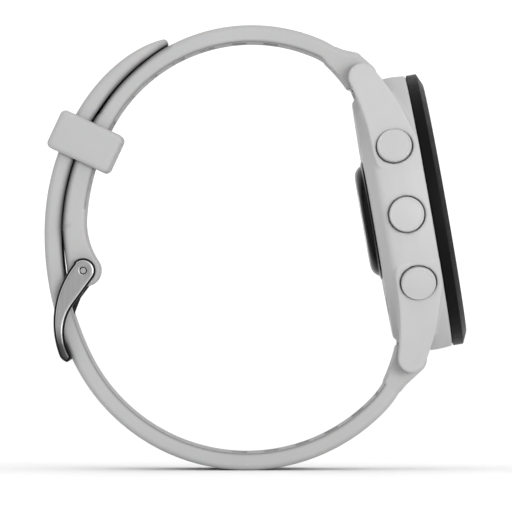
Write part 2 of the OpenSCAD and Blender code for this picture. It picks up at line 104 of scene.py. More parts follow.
def frame_matrix(origin, x, y, z):
    """The matrix that places a frame with these axes at this origin."""
    m = Matrix.Identity(4)
    for column, axis in enumerate((x, y, z)):
        for row in range(3):
            m[row][column] = float(axis[row])
    for row in range(3):
        m[row][3] = float(origin[row])
    return m


IN_CASE = frame_matrix(CASE_ORIGIN, DOWN, ACROSS, OUT)


def on_line(place):
    """Frame on a line straight across the watch, with z towards 3 o'clock."""
    return frame_matrix((place[0], 0, place[1]), (1, 0, 0), (0, 0, -1), ACROSS)


def turn(degrees):
    """Unit vector at an angle from the first of two axes."""
    a = math.radians(degrees)
    return np.array([math.cos(a), math.sin(a)])


# -------------------------------- outlines

# An arc is a tuple (centre, radius, start, end), with its angles in degrees.

def arc_points(centre, radius, start, end, count):
    return [np.array(centre) + radius * turn(start + (end - start) * i / count) for i in range(count + 1)]


def on_arc(arc, angle, out=0.0):
    return arc[0] + (arc[1] + out) * turn(angle)


def next_arc(arc, radius, to):
    """The arc that carries on from this one without a corner."""
    return (arc[0] + (arc[1] - radius) * turn(arc[3]), radius, arc[3], to)


def arc_length(arc):
    return arc[1] * abs(math.radians(arc[3] - arc[2]))


def face(run, out, lost=0.0, power=3.0, step=0.35):
    """One face of a strap, out from the run on its wrist side, thinning over its last arc by lost."""
    points = []
    for k, arc in enumerate(run):
        count = max(2, round(arc_length(arc) / step))
        last = k == len(run) - 1
        for i in range(0 if k == 0 else 1, count + 1):
            thin = lost * (i / count) ** power if last else 0.0
            points.append(on_arc(arc, arc[2] + (arc[3] - arc[2]) * i / count, out - thin))
    return points


def hull(points):
    """Convex outline round the points, anticlockwise."""
    ordered = sorted(set((round(float(x), 6), round(float(z), 6)) for x, z in points))

    def half(run):
        kept = []
        for p in run:
            while len(kept) > 1 and ((kept[-1][0] - kept[-2][0]) * (p[1] - kept[-2][1])
                                     - (kept[-1][1] - kept[-2][1]) * (p[0] - kept[-2][0])) <= 0:
                kept.pop()
            kept.append(p)
        return kept[:-1]

    return [np.array(p) for p in half(ordered) + half(ordered[::-1])]


def circle(centre, radius, count=72):
    return arc_points(centre, radius, 0, 360, count)[:-1]


def rounded(points, radii, steps=6):
    """The outline with each corner rounded by its radius."""
    out = []
    n = len(points)
    for i in range(n):
        p, before, after = (np.array(points[j % n], float) for j in (i, i - 1, i + 1))
        radius = radii[i] if isinstance(radii, (list, tuple)) else radii
        u, v = before - p, after - p
        u, v = u / np.linalg.norm(u), v / np.linalg.norm(v)
        half = math.acos(max(-1.0, min(1.0, float(u @ v)))) / 2
        if radius <= 0 or half > math.radians(89):
            out.append(p)
            continue
        reach = radius / math.tan(half)
        mid = (u + v) / np.linalg.norm(u + v)
        centre = p + mid * radius / math.sin(half)
        a, b = p + u * reach - centre, p + v * reach - centre
        a0 = math.degrees(math.atan2(a[1], a[0]))
        turned = (math.degrees(math.atan2(b[1], b[0])) - a0 + 180) % 360 - 180
        out += arc_points(centre, radius, a0, a0 + turned, steps)
    return out


# -------------------------------- distance fields, negative inside

def exact_distance(ring, across):
    """Signed distance from points (n, 2) to a closed ring of corners."""
    best = np.full(len(across), 1e18)
    inside = np.zeros(len(across), bool)
    for a, b in zip(ring, np.roll(ring, -1, 0)):
        e, w = b - a, across - a
        length = float(e @ e)
        if length < 1e-12:
            continue
        t = np.clip(w @ e / length, 0, 1)
        off = w - t[:, None] * e
        best = np.minimum(best, (off * off).sum(1))
        over = (a[1] <= across[:, 1]) != (b[1] <= across[:, 1])
        side = e[0] * w[:, 1] - e[1] * w[:, 0]
        inside ^= over & ((side > 0) == (b[1] > a[1]))
    return np.where(inside, -1, 1) * np.sqrt(best)


class Outline:
    """Signed distance to a closed outline, read off a fine grid."""

    def __init__(self, points, step=0.12, margin=3.0):
        ring = np.array(points, float)
        self.step, self.low = step, ring.min(0) - margin
        self.counts = np.ceil((ring.max(0) + margin - self.low) / step).astype(int) + 1
        grid = np.stack(np.meshgrid(*[self.low[k] + step * np.arange(self.counts[k]) for k in (0, 1)],
                                    indexing="ij"), -1)
        self.value = exact_distance(ring, grid.reshape(-1, 2)).reshape(self.counts)

    def __call__(self, across):
        place = (across - self.low) / self.step
        held = np.clip(place, 0, self.counts - 1.001)
        i = held.astype(int)
        f = held - i
        v, x, z = self.value, i[:, 0], i[:, 1]
        near = v[x, z] * (1 - f[:, 0]) + v[x + 1, z] * f[:, 0]
        far = v[x, z + 1] * (1 - f[:, 0]) + v[x + 1, z + 1] * f[:, 0]
        return near * (1 - f[:, 1]) + far * f[:, 1] + np.linalg.norm(place - held, axis=1) * self.step


def both(a, b, r=0.0):
    """What two solids share, with the edge between them rounded."""
    return np.minimum(np.maximum(a, b), -r) + np.hypot(np.maximum(a + r, 0), np.maximum(b + r, 0))


def joined(a, b, r=0.0):
    """Both solids as one, with the inner corner between them filled by a round."""
    return -both(-a, -b, r)


def without(a, b, r=0.0):
    """The first solid less the second, with the edge between them rounded."""
    return both(a, -b, r)


def capsule(across, a, b, ra, rb):
    """Distance to the straight-sided outline round two circles."""
    e = b - a
    length = float(np.linalg.norm(e))
    u = e / length
    w = across - a
    along, off = w @ u, np.abs(w @ np.array([-u[1], u[0]]))
    lean = (ra - rb) / length
    rise = math.sqrt(1 - lean * lean)
    t = np.clip((along + off * lean / rise) / length, 0, 1)
    return np.hypot(along - t * length, off) - (ra + (rb - ra) * t)


def block(local, low, high):
    """Distance to a box, for points (n, 3) in its own frame."""
    centre, half = (np.array(low) + high) / 2, (np.array(high) - low) / 2
    q = np.abs(local - centre) - half
    return np.linalg.norm(np.maximum(q, 0), axis=1) + np.minimum(q.max(1), 0)


# -------------------------------- meshing a distance field

def sample(field, low, counts, cell):
    """Field values on a grid, worked out exactly only in the blocks that the surface may cross."""
    step = 8
    value = np.empty(counts)
    starts = [range(0, n, step) for n in counts]
    corners = np.array([(i, j, k) for i in starts[0] for j in starts[1] for k in starts[2]])
    middle = field(low + (corners + (step - 1) / 2) * cell)
    reach = step * cell * math.sqrt(3) / 2 * 1.3 + 0.6    # with spare, as a field isn't an exact distance
    near = []
    for corner, distance in zip(corners, middle):
        if abs(distance) > reach:
            i, j, k = corner
            value[i:i + step, j:j + step, k:k + step] = distance
        else:
            near.append(corner)
    offsets = np.stack(np.meshgrid(*[np.arange(step)] * 3, indexing="ij"), -1).reshape(-1, 3)
    for start in range(0, len(near), 400):
        index = (np.array(near[start:start + 400])[:, None] + offsets).reshape(-1, 3)
        index = index[(index < counts).all(1)]
        value[tuple(index.T)] = field(low + index * cell)
    return value


def field_mesh(field, low, high, cell=CELL):
    """Points and four-sided faces of the surface where the field is zero."""
    low = np.array(low, float)
    counts = np.ceil((np.array(high) - low) / cell).astype(int) + 1
    value = sample(field, low, counts, cell)
    cells = counts - 1
    total, hits = np.zeros((*cells, 3)), np.zeros(cells)
    crossings = []
    for axis in range(3):
        near, far = [slice(None)] * 3, [slice(None)] * 3
        near[axis], far[axis] = slice(0, -1), slice(1, None)
        a, b = value[tuple(near)], value[tuple(far)]
        index = np.argwhere((a < 0) != (b < 0))
        crossings.append((axis, index, a[tuple(index.T)] < 0))
        va, vb = a[tuple(index.T)], b[tuple(index.T)]
        point = low + index * cell
        point[:, axis] += va / (va - vb) * cell
        u, v = [k for k in range(3) if k != axis]
        for du in (0, 1):
            for dv in (0, 1):
                where = index.copy()
                where[:, u] -= du
                where[:, v] -= dv
                ok = ((where >= 0) & (where < cells)).all(1)
                np.add.at(total, tuple(where[ok].T), point[ok])
                np.add.at(hits, tuple(where[ok].T), 1)
    number = np.full(cells, -1)
    used = hits > 0
    number[used] = np.arange(used.sum())
    points = total[used] / hits[used][:, None]
    faces = []
    for axis, index, starts_inside in crossings:
        u, v = (axis + 1) % 3, (axis + 2) % 3
        corners = []
        for du, dv in ((1, 1), (0, 1), (0, 0), (1, 0)):
            where = index.copy()
            where[:, u] -= du
            where[:, v] -= dv
            corners.append(number[tuple(where.T)])
        quad = np.stack(corners, 1)
        quad[~starts_inside] = quad[~starts_inside][:, ::-1]
        faces.append(quad)
    faces = np.concatenate(faces)
    for _ in range(2):
        points = onto(field, relaxed(points, faces))
    return onto(field, points), faces


def relaxed(points, faces):
    """Points moved halfway to the middle of their neighbours."""
    total, hits = np.zeros_like(points), np.zeros(len(points))
    for i in range(4):
        for j in (i - 1, (i + 1) % 4):
            np.add.at(total, faces[:, i], points[faces[:, j]])
            np.add.at(hits, faces[:, i], 1)
    return (points + total / hits[:, None]) / 2


def onto(field, points, h=0.02):
    """Points moved straight onto the surface."""
    value = field(points)
    slope = np.stack([field(points + h * np.eye(3)[k]) - value for k in range(3)], 1) / h
    size = np.maximum((slope * slope).sum(1), 0.2)
    move = slope * (value / size)[:, None]
    length = np.linalg.norm(move, axis=1, keepdims=True)
    return points - move * np.minimum(1, 0.5 * CELL / np.maximum(length, 1e-9))


# -------------------------------- making pieces

def piece(name, points, faces, body, slot, material, matrix=None, replaced=(), sharp=None):
    """A mesh in metres, in place, riding on its body."""
    mesh = bpy.data.meshes.new(name)
    mesh.from_pydata([tuple(p) for p in np.asarray(points)], [], [tuple(map(int, f)) for f in faces])
    if matrix is not None:
        mesh.transform(matrix)
    mesh.transform(Matrix.Scale(MM, 4))
    mesh.validate()
    mesh.update()
    mesh.polygons.foreach_set("use_smooth", [True] * len(mesh.polygons))
    if sharp is not None:
        mesh.set_sharp_from_angle(angle=math.radians(sharp))
    obj = bpy.data.objects.new(name, mesh)
    bpy.context.scene.collection.objects.link(obj)
    obj.data.materials.append(material)
    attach(obj, body)
    if replaced:
        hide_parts(*replaced)
    return obj


def lathe(profile, count=192):
    """Points and faces of a closed (r, z) profile turned about z. Points with r = 0 lie on the axis."""
    points, faces, rows = [], [], []
    for r, z in profile:
        if r < 1e-6:
            rows.append([len(points)] * count)
            points.append((0, 0, z))
        else:
            rows.append(list(range(len(points), len(points) + count)))
            points += [(*(r * turn(360 * i / count)), z) for i in range(count)]
    for a, b in zip(rows, rows[1:] + rows[:1]):
        if a[0] == a[1] and b[0] == b[1]:
            continue
        for i in range(count):
            j = (i + 1) % count
            quad = [a[i], a[j], b[j], b[i]]
            faces.append(list(dict.fromkeys(quad)))
    return points, faces


# -------------------------------- materials

class Look:
    """A Principled material whose colour, roughness and surface come from layered noise."""

    def __init__(self, name, colour, rough, **fixed):
        self.made = bpy.data.materials.new(name)
        self.made.use_nodes = True
        self.nodes, self.links = self.made.node_tree.nodes, self.made.node_tree.links
        self.shader = self.nodes["Principled BSDF"]
        self.where = self.nodes.new("ShaderNodeTexCoord").outputs["Object"]
        self.colour, self.rough = colour, rough
        self.shader.inputs["Base Color"].default_value = (*colour, 1)
        self.shader.inputs["Roughness"].default_value = rough
        for socket, value in fixed.items():
            self.shader.inputs[socket.replace("_", " ")].default_value = value
        self.normal = None

    def add(self, kind, **sockets):
        node = self.nodes.new("ShaderNode" + kind)
        for socket, value in sockets.items():
            if isinstance(value, bpy.types.NodeSocket):
                self.links.new(value, node.inputs[socket])
            else:
                node.inputs[socket].default_value = value
        return node

    def noise(self, size_mm, detail=3.0, stretch=(1, 1, 1)):
        """Noise with features about size_mm across, drawn out along an axis by stretch."""
        place = self.add("Mapping", Vector=self.where)
        place.inputs["Scale"].default_value = [s / (size_mm * MM) for s in stretch]
        node = self.add("TexNoise", Vector=place.outputs["Vector"], Scale=1.0, Detail=detail)
        return node.outputs["Fac"]

    def spread(self, value, low, high, out_low=0.0, out_high=1.0):
        node = self.nodes.new("ShaderNodeMapRange")
        self.links.new(value, node.inputs["Value"])
        limits = {"From Min": low, "From Max": high, "To Min": out_low, "To Max": out_high}
        for socket, number in limits.items():
            node.inputs[socket].default_value = number
        return node.outputs["Result"]

    def tint(self, mask, colour):
        """Works another colour in where the mask is 1."""
        mix = self.nodes.new("ShaderNodeMix")
        mix.data_type = "RGBA"
        base = self.shader.inputs["Base Color"]
        if base.is_linked:
            self.links.new(base.links[0].from_socket, mix.inputs["A"])
        else:
            mix.inputs["A"].default_value = base.default_value
        mix.inputs["B"].default_value = (*colour, 1)
        self.links.new(mask, mix.inputs["Factor"])
        self.links.new(mix.outputs["Result"], base)
        return self

    def vary_colour(self, size_mm, amount, **kw):
        darker = [c * (1 - amount) for c in self.colour]
        return self.tint(self.spread(self.noise(size_mm, **kw), 0.35, 0.65), darker)

    def vary_rough(self, size_mm, amount, **kw):
        value = self.spread(self.noise(size_mm, **kw), 0.3, 0.7, self.rough - amount, self.rough + amount)
        self.links.new(value, self.shader.inputs["Roughness"])
        return self

    def by_cheek(self, colour, low, high):
        """Shows another colour where the surface leans away from the flat sides of the watch."""
        normal = self.nodes.new("ShaderNodeNewGeometry").outputs["Normal"]
        y = self.add("SeparateXYZ", Vector=normal).outputs["Y"]
        size = self.nodes.new("ShaderNodeMath")
        size.operation = "ABSOLUTE"
        self.links.new(y, size.inputs[0])
        return self.tint(self.spread(size.outputs["Value"], low, high), colour)

    def by_height(self, colour, start_mm, end_mm):
        """Works another colour in from one height to the other."""
        z = self.add("SeparateXYZ", Vector=self.where).outputs["Z"]
        return self.tint(self.spread(z, start_mm * MM, end_mm * MM), colour)

    def by_attribute(self, name, colour):
        """Works another colour in where the mesh's own point attribute is 1."""
        node = self.nodes.new("ShaderNodeAttribute")
        node.attribute_name = name
        return self.tint(node.outputs["Fac"], colour)

    def bump(self, height, depth_mm, strength=1.0):
        node = self.add("Bump", Height=height, Strength=strength, Distance=depth_mm * MM)
        if self.normal is not None:
            self.links.new(self.normal, node.inputs["Normal"])
        self.normal = node.outputs["Normal"]
        self.links.new(self.normal, self.shader.inputs["Normal"])
        return self

    def grain(self, size_mm, depth_mm, **kw):
        return self.bump(self.noise(size_mm, **kw), depth_mm)


def grey(value):
    return (value, value, value)


def moulded(name, colour, rough=0.5, grain=0.12, depth=0.006, **fixed):
    """Fine-textured moulded plastic or rubber."""
    look = Look(name, colour, rough, **fixed)
    look.vary_colour(9, 0.05).vary_rough(1.2, 0.07).grain(grain, depth).grain(5, 0.02, detail=1.0)
    return look


def metal(name, colour, rough, stretch, lines=0.05, depth=0.0012):
    """Brushed metal, with its brush lines drawn out along the axis that stretch makes small."""
    look = Look(name, colour, rough, Metallic=1.0)
    look.vary_colour(0.6, 0.1, stretch=stretch).vary_rough(lines * 4, 0.06, stretch=stretch)
    look.grain(lines, depth, stretch=stretch)
    return look


CASE_GREY, STRAP_GREY = 0.42, 0.365
case_look = moulded("case_polymer", grey(CASE_GREY), 0.5, Specular_IOR_Level=0.2)
cap_look = moulded("button_polymer", grey(CASE_GREY * 0.98), 0.42, grain=0.1, Specular_IOR_Level=0.22)
silicone = Look("strap_silicone", grey(STRAP_GREY), 0.6, Specular_IOR_Level=0.2,
                Subsurface_Weight=0.06, Subsurface_Scale=0.0008)
silicone.vary_colour(14, 0.04).vary_rough(2.0, 0.06).grain(0.1, 0.008).grain(7, 0.03, detail=1.0)
# Painted shade: one attribute darkens a thin line along the crease of the wrist-side edges, the other
# darkens the straps where they lie close together.
silicone.by_attribute("rim", grey(0.2)).by_attribute("painted_nip_shade", grey(0.03))
bezel_look = moulded("bezel_polymer", grey(0.0045), 0.42, grain=0.1, depth=0.004, Specular_IOR_Level=0.05)
sensor_look = Look("sensor_gloss", grey(0.004), 0.22, Specular_IOR_Level=0.1)
sensor_look.vary_rough(3, 0.05).grain(6, 0.006, detail=1.0)
window_look = Look("sensor_window", (0.01, 0.03, 0.025), 0.08, Coat_Weight=0.5)
window_look.vary_colour(0.6, 0.6).vary_rough(1.0, 0.03)
back_look = moulded("back_polymer", grey(0.33), 0.4, grain=0.09, Specular_IOR_Level=0.4)
lens_look = Look("front_glass", (0.9, 0.95, 0.95), 0.03, Transmission_Weight=1.0, IOR=1.25)
lens_look.vary_rough(8, 0.01)
face_look = Look("display_face", (0.004, 0.006, 0.008), 0.3, Specular_IOR_Level=0.1)
face_look.vary_colour(0.25, 0.4).vary_rough(0.3, 0.05)
mark_look = Look("display_marks", (0.75, 0.8, 0.82), 0.4, Emission_Color=(0.75, 0.85, 0.9, 1),
                 Emission_Strength=0.35)
mark_look.vary_colour(0.2, 0.12)
accent_look = Look("display_accent", (0.02, 0.45, 0.55), 0.4, Emission_Color=(0.02, 0.5, 0.6, 1),
                   Emission_Strength=0.35)
accent_look.vary_colour(0.2, 0.15)
ALONG_X, ALONG_Y, ALONG_Z = (0.04, 1, 1), (1, 0.04, 1), (1, 1, 0.04)
buckle_look = metal("buckle_satin", grey(0.24), 0.36, ALONG_Z)
# Painted light on the buckle: a painted highlight where the surface starts to turn from the flat cheeks,
# painted shade towards the lower end, and a painted dark reflection where the surface turns further, on the
# edges.
buckle_look.by_cheek(grey(0.45), 0.985, 0.95).by_height(grey(0.05), -12, -15)
buckle_look.by_cheek(grey(0.012), 0.92, 0.85)
# The prong is steel like the frame. Its near black colour is painted shade for the shadow it lies in
# between the arms.
prong_shade_look = metal("prong_painted_shade", grey(0.015), 0.35, ALONG_Z)
pin_look = metal("pin_satin", grey(0.28), 0.36, ALONG_Y)
bar_look = metal("bar_steel", grey(0.55), 0.25, ALONG_Y)
screw_look = metal("screw_steel", grey(0.42), 0.3, ALONG_X, lines=0.08)
gold_look = Look("contact_gold", (0.83, 0.6, 0.25), 0.22, Metallic=1.0)
gold_look.vary_colour(0.5, 0.2).vary_rough(0.3, 0.06).grain(0.08, 0.002)
rubber_look = moulded("seal_rubber", grey(0.012), 0.7, Specular_IOR_Level=0.3)
board_look = Look("board_green", (0.012, 0.11, 0.05), 0.4, Coat_Weight=0.3)
board_look.vary_colour(1.4, 0.4, stretch=ALONG_X).vary_rough(0.8, 0.08).grain(0.5, 0.01)
chip_look = moulded("chip_epoxy", grey(0.02), 0.5, grain=0.08)
light_look = Look("light_emitter", (0.25, 0.75, 0.45), 0.25)
light_look.vary_colour(0.4, 0.3).vary_rough(0.4, 0.05)
foil_look = metal("battery_foil", grey(0.5), 0.38, ALONG_X, lines=0.4, depth=0.02)
switch_look = metal("switch_steel", grey(0.5), 0.3, ALONG_Y)
brass_look = metal("beeper_brass", (0.62, 0.45, 0.18), 0.3, ALONG_X)
copper_look = metal("antenna_copper", (0.72, 0.32, 0.16), 0.3, ALONG_Z)
inner_look = moulded("inner_polymer", grey(0.03), 0.6)

CAD_LOOKS = {
    "back_gasket": rubber_look, "back_screws": screw_look, "sensor_cover": sensor_look,
    "sensor_windows": window_look, "sensor_board": board_look, "sensor_lights": light_look,
    "charge_contacts": gold_look, "battery": foil_look, "main_board": board_look,
    "board_chips": chip_look, "button_switches": switch_look, "vibration_motor": switch_look,
    "beeper": brass_look, "gps_antenna": copper_look, "inner_frame": inner_look,
    "display_panel": face_look, "button_seals": rubber_look, "back_cover": back_look,
}
for node_name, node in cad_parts.items():
    kind = CAD_LOOKS.get(node_name, screw_look if node_name.endswith("_clip") else bar_look)
    node.data.materials.clear()
    node.data.materials.append(kind.made)


# -------------------------------- case

CASE_R, CASE_BULGE, CAVITY_R = 21.5, 0.2, 19.0
BACK_R, BACK_GAP, BACK_T, LEDGE_R, LEDGE_TOP = 18.0, 0.05, 1.4, 15.2, 3.2
LUG_GAP, LUG_T, LUG_TIP_R = 20.2, 3.2, 2.15
LUG_OUTER = LUG_GAP / 2 + LUG_T
LUG_EDGE, LUG_FILLET, LUG_KEEPS_OFF, LUG_PAST_TIP = 0.35, 0.5, 0.6, 1.5
BOSS_R, BOSS_GAP = 2.45, 0.25                   # a strap's end round its spring bar
BAR_HOLE_R, BAR_HOLE_DEPTH = 0.45, 1.15
LUG_TIP = np.array([LUG_REACH, LUG_H])
LUG_BACK_R, LUG_BACK_UP, LUG_FRONT_R, LUG_FRONT_A, LUG_FADE_R = 41.0, 1.6, 36.0, 58, 6.25
BUTTON_R, BUTTON_H, BUTTON_SPREAD, BUTTON_GROOVE = 2.7, 5.1, 10.7, 0.2
POCKET_DEPTH, POCKET_END, STEM_HOLE_R, STEM_HOLE_END = 1.3, 6, 0.75, 5
SPOT_R, SPOT_MID, SPOT_HALF = 1.9, 3.9, 1.1     # wide inner end of a stem's bore, for the clip
BUTTONS = {"light": (-1, -BUTTON_SPREAD), "up": (-1, 0), "down": (-1, BUTTON_SPREAD),
           "start": (1, -BUTTON_SPREAD), "back": (1, BUTTON_SPREAD)}
flank_r = CASE_R - 0.1
flank_tip = np.array([LUG_REACH + LUG_TIP_R, LUG_OUTER])
FLANK_A = math.degrees(math.atan2(flank_tip[1], flank_tip[0])
                       + math.acos(flank_r / float(np.linalg.norm(flank_tip))))
FLANK_LEAN = 90 - FLANK_A


def lug_outline():
    """Side view of a lug: distance from the case axis, height above the case back."""
    rise = LUG_H - LUG_BACK_UP + LUG_BACK_R
    back_x = LUG_REACH - math.sqrt((LUG_BACK_R + LUG_TIP_R) ** 2 - rise ** 2)
    back_c = np.array([back_x, LUG_BACK_UP - LUG_BACK_R])
    back_a = math.degrees(math.atan2(*(back_c - LUG_TIP)[::-1]))
    front_c = LUG_TIP - (LUG_FRONT_R - LUG_TIP_R) * turn(LUG_FRONT_A)
    front_end = math.degrees(math.asin((CASE_H - front_c[1]) / LUG_FRONT_R))
    fade_c = np.array([back_c[0], LUG_BACK_UP + LUG_FADE_R])
    return ([np.array([0, CASE_H])] + arc_points(fade_c, LUG_FADE_R, 190, 270, 16)
            + arc_points(back_c, LUG_BACK_R, 90, back_a + 180, 16)
            + arc_points(LUG_TIP, LUG_TIP_R, back_a, LUG_FRONT_A, 40)[1:]
            + arc_points(front_c, LUG_FRONT_R, LUG_FRONT_A, front_end, 24)[1:])


def lug_plan():
    """Plan of a lug: its flat flank runs from the case wall past the tip."""
    touch = flank_r * turn(FLANK_A)
    past = flank_tip + LUG_PAST_TIP * (flank_tip - touch) / np.linalg.norm(flank_tip - touch)
    return [np.array([touch[0], LUG_GAP / 2]), touch, past, np.array([past[0], LUG_GAP / 2])]


def case_profile():
    """Half section of the case: the back's seat, the chamfer under the wall, the wall and the cavity."""
    r, seat_r = CASE_R, BACK_R + BACK_GAP
    points = [(LEDGE_R, BACK_T), (seat_r, BACK_T), (seat_r, 0), (18.6, 0), (19.5, 0.7),
              (20.95, 1.7), (r - 0.1, 3.6), (r + CASE_BULGE, 6.4), (r, CASE_H), (CAVITY_R, CASE_H),
              (CAVITY_R, LEDGE_TOP), (LEDGE_R, LEDGE_TOP)]
    radii = [0.1, 0.1, 0.15, 0.3, 1.2, 2.0, 8.0, 8.0, 0.3, 0.25, 0.2, 0.2]
    return rounded(points, radii, 8)


def at_button(place):
    """Frame of a button in the case's own frame: z straight out, 0 at the flank."""
    side, along = place
    lean = math.radians(math.copysign(FLANK_LEAN, along) if along else 0)
    out = CASE_R + CASE_BULGE / 2 if not along else (
        (flank_r - abs(along) * math.sin(abs(lean))) / math.cos(lean))
    z = np.array([math.sin(lean), side * math.cos(lean), 0])
    y = np.array([0, 0, 1.0])
    return frame_matrix((along, side * out, BUTTON_H), np.cross(y, z), y, z)


def local(points, matrix):
    """Points in the frame that the matrix places."""
    m = np.array(matrix)
    return (points - m[:3, 3]) @ m[:3, :3]


wall_outline, lug_side, lug_top = Outline(case_profile(), 0.06), Outline(lug_outline()), Outline(lug_plan())
BUTTON_FRAMES = {name: at_button(place) for name, place in BUTTONS.items()}


def case_field(p):
    """Distance to the case body in its own frame: wall and lugs, less the bar holes and button bores."""
    r, z = np.hypot(p[:, 0], p[:, 1]), p[:, 2]
    wall = wall_outline(np.stack([r, z], 1))
    far = np.abs(p[:, :2])
    lug = both(lug_side(np.stack([far[:, 0], z], 1)), lug_top(far), LUG_EDGE)
    lug = np.maximum(lug, CAVITY_R + LUG_KEEPS_OFF - r)
    solid = np.maximum(joined(wall, lug, LUG_FILLET), z - CASE_H)
    from_bar = np.hypot(far[:, 0] - LUG_REACH, z - LUG_H)
    solid = without(solid, both(from_bar - BOSS_R - BOSS_GAP, far[:, 1] - LUG_GAP / 2), 0.2)
    solid = without(solid, both(from_bar - BAR_HOLE_R, far[:, 1] - LUG_GAP / 2 - BAR_HOLE_DEPTH))
    for matrix in BUTTON_FRAMES.values():
        q = local(p, matrix)
        ring = np.hypot(q[:, 0], q[:, 1])
        pocket = both(ring - BUTTON_R - BUTTON_GROOVE, -q[:, 2] - POCKET_DEPTH)
        solid = without(solid, np.maximum(pocket, -q[:, 2] - POCKET_END), 0.1)
        stem = np.maximum(ring - STEM_HOLE_R, np.abs(q[:, 2]) - STEM_HOLE_END)
        spot = np.maximum(ring - SPOT_R, np.abs(q[:, 2] + SPOT_MID) - SPOT_HALF)
        solid = np.maximum(solid, -np.minimum(stem, spot))
    return solid


CASE_GRID_X, CASE_GRID_Y = 25.2, 22.6
points, faces = field_mesh(case_field, (-CASE_GRID_X, -CASE_GRID_Y, -MARGIN),
                           (CASE_GRID_X, CASE_GRID_Y, CASE_H + MARGIN))
piece("case_shell", points, faces, "case", "case_shell", case_look.made, IN_CASE, ["case_body"])


# -------------------------------- bezel, lens and display

FRONT_T, LENS_T = CASE_H + 2.56, 1.1
BEVEL, BEZEL_GAP, LENS_R, PANEL_R = 1.8, 0.17, 19.35, 17.3
BEZEL_STEP, BEVEL_DROP, LENS_GAP, OPENING_R = 0.4, 0.8, 0.05, PANEL_R + 0.4


def bezel_profile():
    """Half section of the bezel: it stands on a narrower foot, which leaves a dark line above the case."""
    r, foot_r, low = CASE_R, CASE_R - BEZEL_STEP, CASE_H + BEZEL_GAP
    seat, seat_r = FRONT_T - LENS_T, LENS_R + LENS_GAP
    points = [(OPENING_R, CASE_H), (foot_r, CASE_H), (foot_r, low), (r, low), (r, FRONT_T - BEVEL_DROP),
              (r - BEVEL, FRONT_T), (seat_r, FRONT_T), (seat_r, seat), (OPENING_R, seat)]
    return rounded(points, [0.05, 0, 0.05, 0.15, 0.12, 0.15, 0.04, 0.04, 0.1], 4)


piece("bezel_ring", *lathe(bezel_profile(), 256), "case", "bezel_black", bezel_look.made,
      IN_CASE, ["bezel"], sharp=40)
lens = rounded([(0, FRONT_T - LENS_T), (LENS_R, FRONT_T - LENS_T), (LENS_R, FRONT_T), (0, FRONT_T)],
               [0, 0.08, 0.22, 0], 6)
piece("front_glass", *lathe(lens, 256), "case", "front_lens", lens_look.made,
      IN_CASE, ["display_lens"], sharp=50)


def flat_shape(outline, z, thick):
    """Points and faces of an outline in the case's plane, thick upwards from z."""
    n = len(outline)
    points = [(x, y, z) for x, y in outline] + [(x, y, z + thick) for x, y in outline]
    faces = [list(range(n))[::-1], list(range(n, 2 * n))]
    faces += [[i, (i + 1) % n, n + (i + 1) % n, n + i] for i in range(n)]
    return points, faces


def bar_at(angle, r0, r1, w0, w1):
    """Outline of a bar that points out from the dial's middle; angle 0 is 12 o'clock, clockwise."""
    out = np.array([-math.cos(math.radians(angle)), math.sin(math.radians(angle))])
    side = np.array([-out[1], out[0]])
    inner, outer = side * w0 / 2, side * w1 / 2
    return [out * r0 - inner, out * r1 - outer, out * r1 + outer, out * r0 + inner]


def merged(shapes):
    """Points and faces of several shapes as one mesh."""
    points, faces = [], []
    for some, corners in shapes:
        start = len(points)
        points += list(some)
        faces += [[start + i for i in corner] for corner in corners]
    return points, faces


DIAL_Z = CASE_H + PANEL_T
TICK_END, MARK_T, ACCENT_T = 16.6, 0.02, 0.01
HOUR_TICK, MINUTE_TICK = (14.6, 0.5), (15.6, 0.18)         # inner end and width
HOUR_HAND_A, MINUTE_HAND_A, SECOND_HAND_A, HUB_R = 305, 55, 210, 0.75


def tick(minute):
    start, width = MINUTE_TICK if minute % 5 else HOUR_TICK
    return flat_shape(bar_at(minute * 6, start, TICK_END, width, width), DIAL_Z, MARK_T)


ticks = [tick(minute) for minute in range(60)]
hands = [flat_shape(bar_at(HOUR_HAND_A, -1.8, 8.6, 0.9, 0.6), DIAL_Z + 0.02, MARK_T),
         flat_shape(bar_at(MINUTE_HAND_A, -1.8, 13.2, 0.7, 0.45), DIAL_Z + 0.04, MARK_T)]
piece("dial_marks", *merged(ticks + hands), "case", "display_face", mark_look.made, IN_CASE)
accents = [flat_shape(bar_at(SECOND_HAND_A, -2.4, 14.0, 0.2, 0.14), DIAL_Z + 0.06, ACCENT_T),
           flat_shape(circle((0, 0), HUB_R, 48), DIAL_Z + 0.07, ACCENT_T)]
piece("dial_accents", *merged(accents), "case", "display_face", accent_look.made, IN_CASE)


# -------------------------------- buttons

STEM_R, STEM_END, CLIP_AT, CLIP_T, CLIP_GROOVE_R = 0.7, 3.9, 2.85, 0.3, 0.45
CAP_DEPTH, CAP_PROUD, CAP_DOME, CAP_RIM, CAP_RIM_R = 0.65, 0.68, 0.17, 0.3, 0.32


